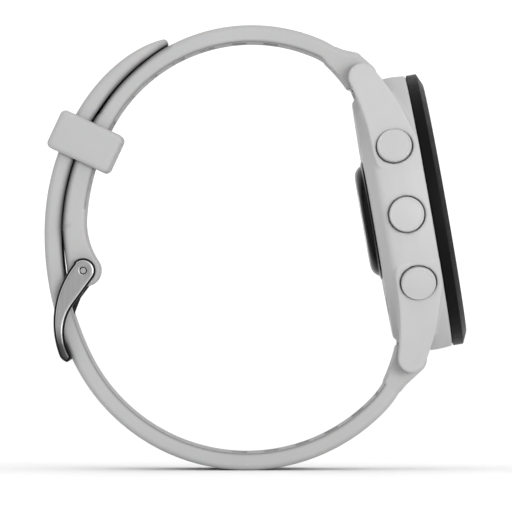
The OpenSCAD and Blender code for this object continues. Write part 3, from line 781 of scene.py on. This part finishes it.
def button_profile():
    """Half section of a button: its stem with the clip's groove, and its low domed cap."""
    sphere_r = (BUTTON_R ** 2 + CAP_DOME ** 2) / (2 * CAP_DOME)
    centre = CAP_PROUD + CAP_DOME - sphere_r
    rim_r = BUTTON_R - CAP_RIM
    start = math.degrees(math.acos(rim_r / sphere_r))
    dome = arc_points((0, centre), sphere_r, start, 90, 14)
    rim = arc_points((rim_r - 0.02, CAP_PROUD - 0.24), CAP_RIM_R, 0, math.degrees(math.acos(0.25)), 6)
    clip_end = CLIP_AT + CLIP_T
    stem = [(0, -STEM_END), (STEM_R - 0.15, -STEM_END), (STEM_R, -STEM_END + 0.15), (STEM_R, -clip_end),
            (CLIP_GROOVE_R, -clip_end), (CLIP_GROOVE_R, -CLIP_AT), (STEM_R, -CLIP_AT), (STEM_R, -CAP_DEPTH)]
    under = [(BUTTON_R - 0.12, -CAP_DEPTH), (BUTTON_R, -CAP_DEPTH + 0.12)]
    return stem + under + [tuple(p) for p in rim + dome[:-1]] + [(0, CAP_PROUD + CAP_DOME)]


for name, matrix in BUTTON_FRAMES.items():
    piece(name + "_cap", *lathe(button_profile(), 128), name + "_key", "button_cap", cap_look.made,
          IN_CASE @ matrix, [name + "_button"], sharp=50)


# -------------------------------- straps

STRAP_W, STRAP_T, EDGE_R = 20.0, 2.65, 1.05
HOLE_PITCH, HOLE_R, HOLE_COUNT, FIRST_HOLE = 5.0, 1.1, 15, 37.4
HEAD_END_12, HEAD_END_6 = 54, -29       # where on its first arc each strap's thicker end has faded
BOSS_BORE_R, KNOB_AT, KNOB_TRAVEL, KNOB_LEAN = 0.85, 7.2, 1.2, 42
NOTCH_W, NOTCH_REACH, NOTCH_SPARE = 1.7, 4, 1.1
PIN_BOSS_R, PIN_R, PIN_FILLET_R, PIN_END_EXTRA = 2.55, 0.75, 11.0, 0.95
PRONG_W, PRONG_EYE_R, PRONG_SWING, PRONG_PLAY, PRONG_SIDE_GAP = 1.6, 1.35, 3, 0.3, 0.25
PRONG_MID, PRONG_TIP = np.array([-24.75, -9.6]), np.array([-26.75, -15.7])
PRONG_NECK_R, PRONG_MID_R, PRONG_TIP_R = PRONG_EYE_R - 0.3, 0.62, 0.5
DENT_DEPTH, DENT_L, DENT_W = 0.45, 2.2, 15.0
FIRST_DENT_12, NO_DENTS_BY_PIN, NO_DENTS_BY_HEAD_6, NO_DENTS_BY_HOLE = 14.5, 6, 8, 2.6
# RIM_R rounds the wrist-side edges. The rest size the painted shade: a dark line along those edges, kept
# clear of the strap's ends, and darkening where the straps lie close together.
RIM_R, RIM_IN, RIM_LINE, NIP_SHADE_REACH = 0.3, 0.12, 0.26, 1.1
NO_RIM_BY_HEAD, NO_RIM_BY_END = 6, 3
HUMP, HUMP_R = np.array([19.75, 29.9]), 0.8
TAIL_TIP_T, TAIL_CORNER, TAIL_THINS = 1.15, 6.0, 6


def arcs_from(first, *others):
    """A run of arcs, each carrying on from the one before. The others are given by radius and end angle."""
    run = [first]
    for radius, to in others:
        run.append(next_arc(run[-1], radius, to))
    return run


def run_length(run):
    return sum(arc_length(arc) for arc in run)


RUN_12 = arcs_from((np.array([9.15, 20.79]), 10.4, 25.5, 67.1), (24.8, 149.9), (34.5, 179))
RUN_6 = arcs_from((np.array([12.39, -13.99]), 13.8, -4.8, -44.5),
                  (27.35, -154.5), (43.2, -182.6), (34.1, -210), (33.9, -238.8))


def section(arc, angle):
    """The strap's two faces at one place on an arc."""
    return [on_arc(arc, angle), on_arc(arc, angle, STRAP_T)]


def pin_end_outline():
    """The strap runs into its boss on the buckle pin, with a hollow curve on the wrist side."""
    arc = RUN_12[2]
    a, ra, rb = arc[0], arc[1] - PIN_FILLET_R, PIN_BOSS_R + PIN_FILLET_R
    d = float(np.linalg.norm(PIN - a))
    u = (PIN - a) / d
    along = (ra * ra - rb * rb + d * d) / (2 * d)
    centre = a + along * u + math.sqrt(ra * ra - along * along) * np.array([u[1], -u[0]])
    meet, boss = centre - a, PIN - centre
    meet_a = math.degrees(math.atan2(meet[1], meet[0]))
    return ([on_arc(arc, meet_a, STRAP_T / 2)]
            + arc_points(centre, PIN_FILLET_R, meet_a - 360, math.degrees(math.atan2(boss[1], boss[0])), 24)
            + [PIN, PIN - [PIN_BOSS_R, 0], on_arc(arc, arc[3], STRAP_T + PIN_END_EXTRA)])


SIDE_12 = face(RUN_12, 0) + face(RUN_12, STRAP_T, -PIN_END_EXTRA, 0.5)[::-1]
HEAD_12 = hull(circle(BAR_12, BOSS_R, 96) + circle(HUMP, HUMP_R) + section(RUN_12[0], HEAD_END_12))
PIN_END = pin_end_outline()
tail_c = on_arc(RUN_6[-1], RUN_6[-1][3], TAIL_TIP_T / 2)
SIDE_6 = (face(RUN_6, 0) + arc_points(tail_c, TAIL_TIP_T / 2, RUN_6[-1][3] - 180, RUN_6[-1][3], 10)[1:-1]
          + face(RUN_6, STRAP_T, STRAP_T - TAIL_TIP_T)[::-1])
HEAD_6 = hull(circle(BAR_6, BOSS_R, 96) + section(RUN_6[0], HEAD_END_6))
side_12, head_12, pin_end_12 = Outline(SIDE_12), Outline(HEAD_12), Outline(PIN_END)
side_6, head_6 = Outline(SIDE_6), Outline(HEAD_6)


def places(run, across):
    """For each point: distance along the run on its wrist side, height over it, and how much longer
    the arc is at that height."""
    s, v, grow = np.zeros(len(across)), np.full(len(across), 1e9), np.ones(len(across))
    miss = np.full(len(across), 1e9)
    start = 0.0
    for arc in run:
        w = across - arc[0]
        radius = np.hypot(w[:, 0], w[:, 1])
        middle = (arc[2] + arc[3]) / 2
        angle = middle + (np.degrees(np.arctan2(w[:, 1], w[:, 0])) - middle + 180) % 360 - 180
        low, high = sorted((arc[2], arc[3]))
        off = np.abs(radius - arc[1]) + np.maximum(0, np.maximum(low - angle, angle - high))
        nearer = off < miss
        way = start + arc[1] * np.abs(np.radians(angle - arc[2]))
        s, v = np.where(nearer, way, s), np.where(nearer, radius - arc[1], v)
        grow = np.where(nearer, radius / arc[1], grow)
        miss = np.where(nearer, off, miss)
        start += arc_length(arc)
    return s, v, grow


def bar_cut(solid, p, bar, end):
    """A spring bar's bore, and the notch that its knob sits in."""
    q = p[:, [0, 2]] - bar
    solid = without(solid, np.hypot(q[:, 0], q[:, 1]) - BOSS_BORE_R, 0.15)
    u = turn(180 + math.degrees(TILT) + end * KNOB_LEAN)
    notch = np.stack([q @ u, q @ np.array([-u[1], u[0]]), p[:, 1]], 1)
    low = (0, -NOTCH_W / 2, -KNOB_AT - NOTCH_SPARE)
    high = (NOTCH_REACH, NOTCH_W / 2, low[2] + KNOB_TRAVEL + 2 * NOTCH_SPARE)
    return without(solid, block(notch, low, high), 0.25)


def swung(point, degrees):
    """A side-view place turned about the buckle pin."""
    a = math.radians(degrees)
    d = point - PIN
    c, s = math.cos(a), math.sin(a)
    return PIN + np.array([c * d[0] + s * d[1], -s * d[0] + c * d[1]])


def prong_path(across, gap, swings):
    """Side-view distance to the prong, grown by a gap, at each of the swings."""
    found = np.full(len(across), 1e9)
    for degrees in swings:
        mid, tip = swung(PRONG_MID, degrees), swung(PRONG_TIP, degrees)
        found = np.minimum(found, capsule(across, PIN, mid, PRONG_NECK_R + gap, PRONG_MID_R + gap))
        found = np.minimum(found, capsule(across, mid, tip, PRONG_MID_R + gap, PRONG_TIP_R + gap))
    return found


def prong_slot(solid, p):
    """Cuts what the prong sweeps through on its whole swing."""
    across = p[:, [0, 2]]
    path = prong_path(across, PRONG_PLAY, (0, PRONG_SWING / 2, PRONG_SWING))
    return without(solid, np.maximum(path, np.abs(p[:, 1]) - PRONG_W / 2 - PRONG_SIDE_GAP), 0.2)


def dents(solid, s, v, y, grow, skip):
    """Shallow grooves across the wrist side, one to each pitch of the holes, counted from skip."""
    along = ((s - skip + HOLE_PITCH / 2) % HOLE_PITCH - HOLE_PITCH / 2) * grow
    reach = np.hypot(np.maximum(np.abs(y) - (DENT_W - DENT_L) / 2, 0), along) - DENT_L / 2
    return without(solid, np.maximum(reach, v - DENT_DEPTH), 0.2)


def short_strap(p):
    across, y = p[:, [0, 2]], p[:, 1]
    outline = joined(side_12(across), head_12(across), 0.6)
    pin_end = np.minimum(np.hypot(*(across - PIN).T) - PIN_BOSS_R, pin_end_12(across))
    outline = np.minimum(outline, pin_end)
    s, v, grow = places(RUN_12, across)
    edge = RIM_R + np.clip(v / STRAP_T, 0, 1) * (EDGE_R - RIM_R)
    solid = bar_cut(both(outline, np.abs(y) - STRAP_W / 2, edge), p, BAR_12, 1)
    grooved = (s > FIRST_DENT_12 - HOLE_PITCH / 2) & (s < run_length(RUN_12) - NO_DENTS_BY_PIN)
    solid = np.where(grooved, dents(solid, s, v, y, grow, FIRST_DENT_12), solid)
    from_pin = np.hypot(*(across - PIN).T)
    solid = without(solid, from_pin - PIN_R, 0.15)
    eye = np.maximum(from_pin - PRONG_EYE_R - PRONG_PLAY, np.abs(y) - PRONG_W / 2 - PRONG_SIDE_GAP)
    return prong_slot(without(solid, eye, 0.2), p)


def long_strap(p):
    across, y = p[:, [0, 2]], p[:, 1]
    outline = joined(side_6(across), head_6(across), 0.6)
    s, v, grow = places(RUN_6, across)
    whole = run_length(RUN_6)
    corner = np.stack([np.abs(y) - STRAP_W / 2, s - whole - TAIL_TIP_T / 2], 1) + TAIL_CORNER
    plan = np.linalg.norm(np.maximum(corner, 0), axis=1) + np.minimum(corner.max(1), 0) - TAIL_CORNER
    thinned = 1 - 0.6 * np.clip((s - whole + TAIL_THINS) / TAIL_THINS, 0, 1)
    edge = RIM_R + np.clip(v / STRAP_T, 0, 1) * (EDGE_R - RIM_R) * thinned
    solid = bar_cut(both(outline, plan, edge), p, BAR_6, -1)
    for i in range(HOLE_COUNT):
        from_hole = s - FIRST_HOLE - i * HOLE_PITCH
        hole = np.hypot(from_hole * grow, y) - HOLE_R
        solid = np.where(np.abs(from_hole) < 2.4, without(solid, hole, 0.3), solid)
    grooved = (s > NO_DENTS_BY_HEAD_6) & (s < FIRST_HOLE - NO_DENTS_BY_HOLE)
    solid = np.where(grooved, dents(solid, s, v, y, grow, FIRST_HOLE), solid)
    return prong_slot(solid, p)


def mark_strap(obj, run, *others):
    """Point attributes for the material, both painted shade: rim, a dark line along the crease of the
    wrist-side edges, and nip, darkening that grows the nearer the other strap's outlines are."""
    p = np.empty(len(obj.data.vertices) * 3)
    obj.data.vertices.foreach_get("co", p)
    p = p.reshape(-1, 3) / MM
    across = p[:, [0, 2]]
    s, v, grow = places(run, across)
    # Painted shade line along the crease of the wrist-side edges.
    far = np.hypot(v - RIM_IN, np.abs(p[:, 1]) - STRAP_W / 2 + RIM_IN)
    along = (s > NO_RIM_BY_HEAD) * (s < run_length(run) - NO_RIM_BY_END)
    rim = np.clip(1.25 - far / RIM_LINE, 0, 1) * along
    # Painted shade, darker the nearer the other strap lies.
    gap = np.min([other(across) for other in others], axis=0)
    painted_nip_shade = np.clip(1 - gap / NIP_SHADE_REACH, 0, 1) ** 1.5
    for name, value in (("rim", rim), ("painted_nip_shade", painted_nip_shade)):
        obj.data.attributes.new(name, "FLOAT", "POINT").data.foreach_set("value", value)


def strap_box(outlines):
    """Corners of the grid that a strap with these outlines is meshed on."""
    every = np.concatenate([np.array(outline) for outline in outlines])
    (x0, z0), (x1, z1) = every.min(0) - MARGIN, every.max(0) + MARGIN
    return (x0, -STRAP_W / 2 - MARGIN, z0), (x1, STRAP_W / 2 + MARGIN, z1)


points, faces = field_mesh(short_strap, *strap_box([SIDE_12, HEAD_12, PIN_END, circle(PIN, PIN_BOSS_R)]))
strap = piece("short_strap", points, faces, "case", "strap_silicone", silicone.made, None, ["strap_12"])
mark_strap(strap, RUN_12, side_6)
points, faces = field_mesh(long_strap, *strap_box([SIDE_6, HEAD_6]), CELL * 1.15)
strap = piece("long_strap", points, faces, "case", "strap_silicone", silicone.made, None, ["strap_6"])
mark_strap(strap, RUN_6, side_12, pin_end_12)


# -------------------------------- keeper

KEEPER_L, KEEPER_H, KEEPER_W, KEEPER_A = 6.4, 10.6, 23.0, 155
KEEPER_IN, KEEPER_OUT, KEEPER_CORNER = 3.75, 3.95, 0.9
KEEPER_PASS_W = STRAP_W + 0.5
keeper_x = np.array([turn(KEEPER_A)[0], 0, turn(KEEPER_A)[1]])
IN_KEEPER = frame_matrix(centre_mm("keeper"), keeper_x, ACROSS, np.cross(keeper_x, ACROSS))


def keeper_field(p):
    """Distance to the keeper in its own frame: x out through the straps, z along them."""
    half = np.array([KEEPER_H / 2, KEEPER_L / 2])
    q = np.abs(p[:, [0, 2]]) - half + KEEPER_CORNER
    outline = np.linalg.norm(np.maximum(q, 0), axis=1) + np.minimum(q.max(1), 0) - KEEPER_CORNER
    solid = both(outline, np.abs(p[:, 1]) - KEEPER_W / 2, 0.75)
    inner = np.maximum(np.abs(p[:, 0] - (KEEPER_OUT - KEEPER_IN) / 2) - (KEEPER_OUT + KEEPER_IN) / 2,
                       np.abs(p[:, 1]) - KEEPER_PASS_W / 2)
    return without(solid, inner, 0.3)


grid_low = np.array([-KEEPER_H / 2, -KEEPER_W / 2, -KEEPER_L / 2]) - MARGIN
points, faces = field_mesh(keeper_field, grid_low, -grid_low, CELL * 0.8)
piece("keeper_band", points, faces, "keeper_loop", "strap_silicone", silicone.made, IN_KEEPER, ["keeper"])


# -------------------------------- buckle

ARM_T, ARM_EYE_R, ARM_Y = 1.6, 1.95, STRAP_W / 2 + 0.35
ARM_OUTER, ARM_OUTER_R = np.array([-12.68, -11.39]), 14.69
ARM_INNER, ARM_INNER_R = np.array([-18.56, -12.94]), 7.11
ARM_END = np.array([-24.6, -17.7])
BAR_TOP, BAR_CLEAR, ARM_EDGE, ARM_CHAMFER, ARM_END_R = -14.4, 0.15, 0.12, 0.36, 1.1
ARM_HOLE_R, PRONG_BORE_R, PIN_END_R, PIN_TIP_R = 0.53, 0.78, 0.46, 0.42
REST_GAP = 0.1                                  # between the prong and its rest in the crossbar


def from_circle(across, centre, radius):
    return np.hypot(*(across - centre).T) - radius


def arm_outline():
    """Side view of an arm: round the eye, down past its end, and back up the hollow curve."""
    apart = PIN - ARM_INNER
    lean = math.degrees(math.acos((ARM_INNER_R + ARM_EYE_R) / float(np.linalg.norm(apart))))
    leave = math.degrees(math.atan2(apart[1], apart[0])) + lean
    from_outer = PIN - ARM_OUTER
    top = math.degrees(math.atan2(from_outer[1], from_outer[0]))
    below = ARM_END - np.array([0, 2 * ARM_END_R])
    low_outer = 180 - math.degrees(math.asin((below[1] - ARM_OUTER[1]) / ARM_OUTER_R))
    low_inner = 180 + math.degrees(math.acos((ARM_INNER[0] - ARM_END[0]) / ARM_INNER_R))
    return (arc_points(ARM_OUTER, ARM_OUTER_R, top, low_outer, 40) + [below]
            + arc_points(ARM_INNER, ARM_INNER_R, low_inner, leave, 40)
            + arc_points(PIN, ARM_EYE_R, leave - 180, top, 40))


arm_side = Outline(arm_outline(), 0.06)


def buckle_field(p):
    """Distance to the buckle frame: two arms, and a crossbar that follows the long strap's outer face."""
    across, y = p[:, [0, 2]], np.abs(p[:, 1])
    middle = ARM_Y + ARM_T / 2
    blade = both(arm_side(across), ARM_END[1] - across[:, 1], ARM_END_R)
    cheek = np.abs(y - middle) - ARM_T / 2
    arms = both(both(blade, cheek, ARM_EDGE), (blade + cheek + ARM_CHAMFER) / math.sqrt(2), ARM_EDGE)
    strap = np.minimum(from_circle(across, RUN_6[1][0], RUN_6[1][1] + STRAP_T + BAR_CLEAR),
                       from_circle(across, RUN_6[2][0], RUN_6[2][1] + STRAP_T + BAR_CLEAR))
    bar = both(both(blade, -strap, 0.2), across[:, 1] - BAR_TOP, 0.3)
    solid = np.minimum(arms, np.maximum(bar, y - middle))
    solid = without(solid, from_circle(across, PIN, ARM_HOLE_R), 0.05)
    rest = np.maximum(prong_path(across, REST_GAP, (0,)), y - PRONG_W / 2 - PRONG_SIDE_GAP)
    return without(solid, rest, 0.1)


def prong_field(p):
    across = p[:, [0, 2]]
    eye = from_circle(across, PIN, PRONG_EYE_R)
    outline = joined(eye, prong_path(across, 0, (0,)), 0.3)
    outline = both(outline, from_circle(across, ARM_OUTER, ARM_OUTER_R - 0.05), 0.15)
    solid = both(outline, np.abs(p[:, 1]) - PRONG_W / 2, 0.25)
    return np.maximum(solid, -from_circle(across, PIN, PRONG_BORE_R))


def node_box(node):
    """Corners of the grid that a piece in a CAD node's place is meshed on."""
    low, high = box_mm(node)
    return low - MARGIN, high + MARGIN


points, faces = field_mesh(buckle_field, *node_box("buckle_frame"), CELL * 0.55)
piece("buckle_body", points, faces, "buckle", "buckle_steel", buckle_look.made, None, ["buckle_frame"])
points, faces = field_mesh(prong_field, *node_box("buckle_prong"), CELL * 0.5)
piece("buckle_tongue", points, faces, "prong", "buckle_steel", prong_shade_look.made, None, ["buckle_prong"])

pin_end = ARM_Y + ARM_T
half_pin = [(PIN_END_R, ARM_Y - 0.05), (PIN_END_R, pin_end - 0.05), (PIN_TIP_R, pin_end - 0.01),
            (0, pin_end - 0.01)]
shank = [(PIN_R - 0.01, ARM_Y - 0.15), (PIN_R - 0.08, ARM_Y - 0.05)]
pin_profile = [(r, -z) for r, z in (shank + half_pin)[::-1]] + shank + half_pin
piece("pin_rod", *lathe(pin_profile, 64), "case", "buckle_steel", pin_look.made,
      on_line(PIN), ["buckle_pin"], sharp=40)


# -------------------------------- spring bars

SPRING_LOW, SPRING_L, COIL_R, WIRE_R, COIL_TURNS = -4.8, 6.6, 0.33, 0.1, 9


def coil():
    """Points and faces of a coil spring along z, with round wire."""
    steps, sides = 24 * COIL_TURNS, 8
    points, faces = [], []
    for i in range(steps + 1):
        out, up = turn(360 * COIL_TURNS * i / steps), SPRING_LOW + SPRING_L * i / steps
        for wire in (turn(360 * k / sides) for k in range(sides)):
            points.append((*(out * (COIL_R + WIRE_R * wire[0])), up + WIRE_R * wire[1]))
    for start in range(0, steps * sides, sides):
        for k in range(sides):
            after = (k + 1) % sides
            faces.append([start + k, start + after, start + sides + after, start + sides + k])
    faces += [list(range(sides))[::-1], [steps * sides + k for k in range(sides)]]
    return points, faces


for end, bar in (("12", BAR_12), ("6", BAR_6)):
    spring = piece("spring_" + end, *coil(), "case", "small_steel", bar_look.made,
                   on_line(bar), ["bar_spring_" + end])
    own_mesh(spring)


# -------------------------------- floor, light and camera

FLOOR_Z = CAD_BOX[0].z - 0.00002        # a hair under the watch
FLOOR_HALF = 3
world = bpy.data.worlds.new("studio")
bpy.context.scene.world = world
world.use_nodes = True
background = world.node_tree.nodes["Background"]
background.inputs["Color"].default_value = (1, 1, 1, 1)
background.inputs["Strength"].default_value = 1.12

floor_mesh = bpy.data.meshes.new("floor")
corners = [(x * FLOOR_HALF, y * FLOOR_HALF, FLOOR_Z) for x, y in ((-1, -1), (1, -1), (1, 1), (-1, 1))]
floor_mesh.from_pydata(corners, [], [(0, 1, 2, 3)])
floor = bpy.data.objects.new("floor", floor_mesh)
bpy.context.scene.collection.objects.link(floor)
floor_look = Look("floor_white", grey(0.9), 0.6, Specular_IOR_Level=0.1)
floor_look.vary_rough(40, 0.05)
floor.data.materials.append(floor_look.made)


def soft_light(name, place, size, watts):
    """A round area light at a place, aimed at the origin."""
    light = bpy.data.lights.new(name, "AREA")
    light.shape, light.size, light.energy = "DISK", size, watts
    obj = bpy.data.objects.new(name, light)
    obj.location = place
    obj.rotation_mode = "QUATERNION"
    obj.rotation_quaternion = (-Vector(place)).to_track_quat("-Z", "Y")
    bpy.context.scene.collection.objects.link(obj)


soft_light("key", (0.42, -0.88, 0.02), 0.5, 7.0)

camera = bpy.data.objects.new("camera", bpy.data.cameras.new("camera"))
bpy.context.scene.collection.objects.link(camera)
camera.data.sensor_width, camera.data.lens = 36, 626.6
camera.data.clip_start, camera.data.clip_end = 0.05, 20
camera.location = (0.0042, -1.4, -0.00106)
camera.rotation_euler = (math.radians(90), 0, 0)
bpy.context.scene.camera = camera
bpy.context.scene.view_settings.view_transform = "Standard"
